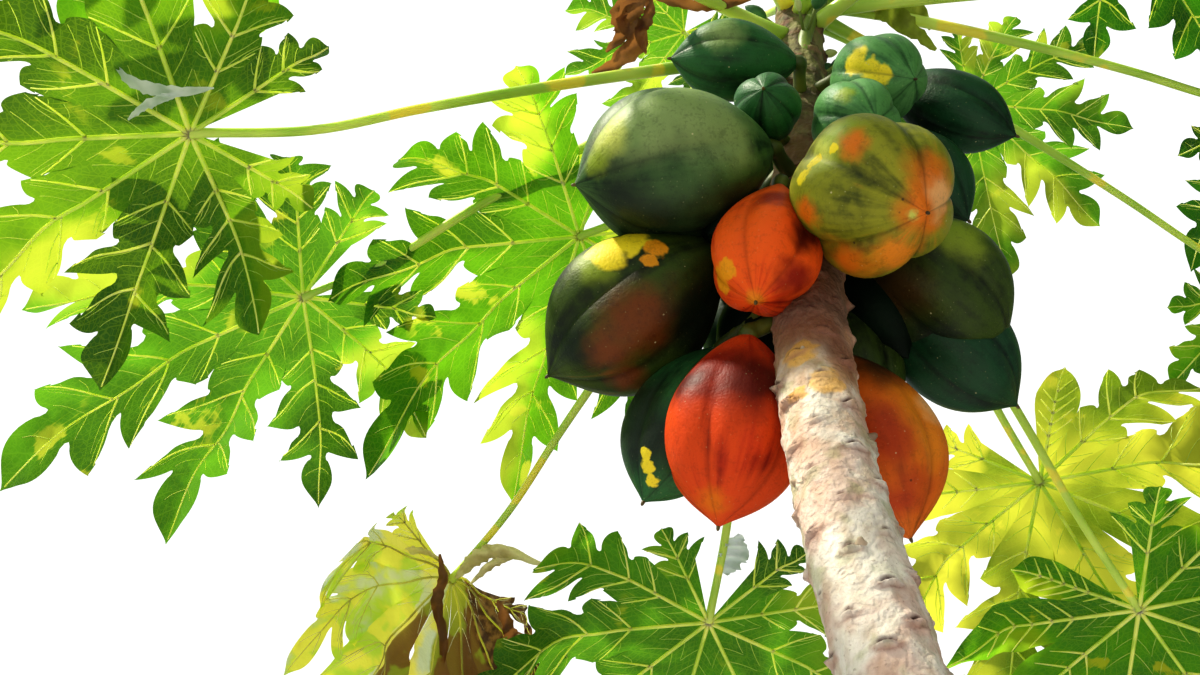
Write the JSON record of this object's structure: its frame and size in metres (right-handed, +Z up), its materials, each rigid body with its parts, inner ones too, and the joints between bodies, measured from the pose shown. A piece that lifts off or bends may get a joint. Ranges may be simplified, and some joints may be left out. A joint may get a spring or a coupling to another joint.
{
  "type": "papaya tree",
  "caption": "Whole papaya tree in fruit: a slim leaning trunk with leaf scars, a spiral crown of long-stalked lobed leaves, and a crowded column of fruit under it.",
  "frame": {"origin": "centre of the trunk's flat foot at ground level", "axes": "+Z up; the picture's camera stands on the -Y side under the crown and looks up towards +Y, with +X to its right"},
  "size_m": [2.0744, 1.8868, 3.7477],
  "materials": {
    "bark": "rough pale bark with red-brown leaf scars",
    "leaf": "satin green leaf with yellow-green veins, light shining through",
    "leaf_withered": "dull yellow, brown and grey withered leaf",
    "fruit_green": "waxy dark green skin",
    "fruit_turning": "waxy olive green skin flushed with orange",
    "fruit_ripe": "waxy orange-red skin"
  },
  "bodies": {
    "root": {"trunk": "bark", "fruit_1": "fruit_ripe", "fruit_2": "fruit_ripe", "fruit_3": "fruit_green", "fruit_4": "fruit_ripe", "fruit_5": "fruit_turning", "fruit_6": "fruit_green", "fruit_7": "fruit_green", "fruit_8": "fruit_turning", "fruit_9": "fruit_green", "fruit_10": "fruit_green", "fruit_11": "fruit_green", "fruit_12": "fruit_green", "fruit_13": "fruit_green", "fruit_14": "fruit_green", "fruit_15": "fruit_green", "fruit_16": "fruit_green", "fruit_17": "fruit_green", "fruit_18": "fruit_green", "fruit_19": "fruit_green", "fruit_20": "fruit_green", "fruit_21": "fruit_green", "fruit_22": "fruit_green", "fruit_23": "fruit_green", "leaf_1": "leaf", "leaf_2": "leaf", "leaf_3": "leaf", "leaf_4": "leaf_withered", "leaf_5": "leaf", "leaf_6": "leaf", "leaf_7": "leaf", "leaf_8": "leaf", "leaf_9": "leaf", "leaf_10": "leaf", "leaf_11": "leaf", "leaf_12": "leaf", "leaf_13": "leaf", "leaf_14": "leaf", "leaf_15": "leaf", "leaf_16": "leaf", "leaf_17": "leaf", "leaf_18": "leaf", "leaf_19": "leaf", "leaf_20": "leaf", "leaf_21": "leaf", "leaf_22": "leaf"}
  },
  "joints": []
}
